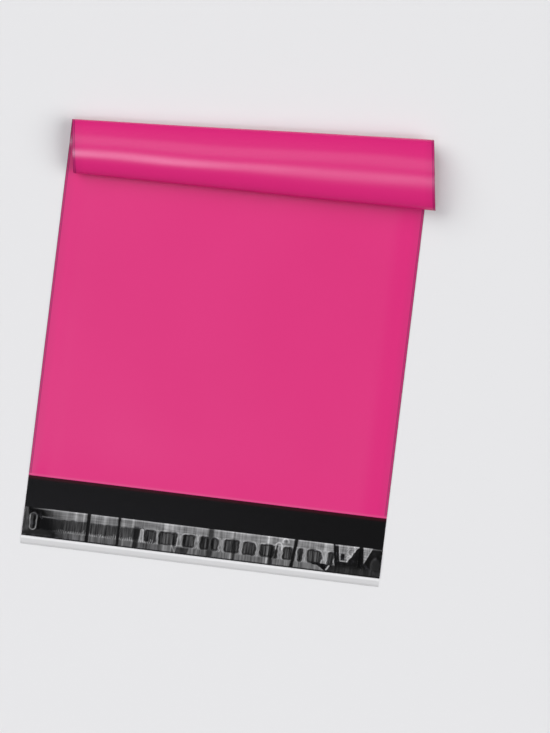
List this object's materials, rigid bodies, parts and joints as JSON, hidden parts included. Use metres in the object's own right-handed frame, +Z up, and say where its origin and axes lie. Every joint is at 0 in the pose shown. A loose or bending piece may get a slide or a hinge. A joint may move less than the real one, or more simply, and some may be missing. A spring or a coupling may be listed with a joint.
{
  "type": "poly mailer bag",
  "caption": "Flat film shipping bag with a self-seal flap, lying on its back with its closed end curled up and over.",
  "frame": {"origin": "middle of the bag's footprint, on the surface that the back panel lies on", "axes": "+X across the bag to the right as the front panel is seen with the flap below, +Y from the flap to the curled closed end, +Z up"},
  "size_m": [0.2616, 0.3168, 0.0211],
  "materials": {
    "film": "satin co-extruded polyethylene film, pink outside and black inside",
    "adhesive": "clear hot-melt adhesive on black film",
    "liner": "clear glossy release film"
  },
  "bodies": {
    "root": {"mailer_film": "film", "adhesive_strip": "adhesive", "release_liner": "liner"}
  },
  "joints": []
}
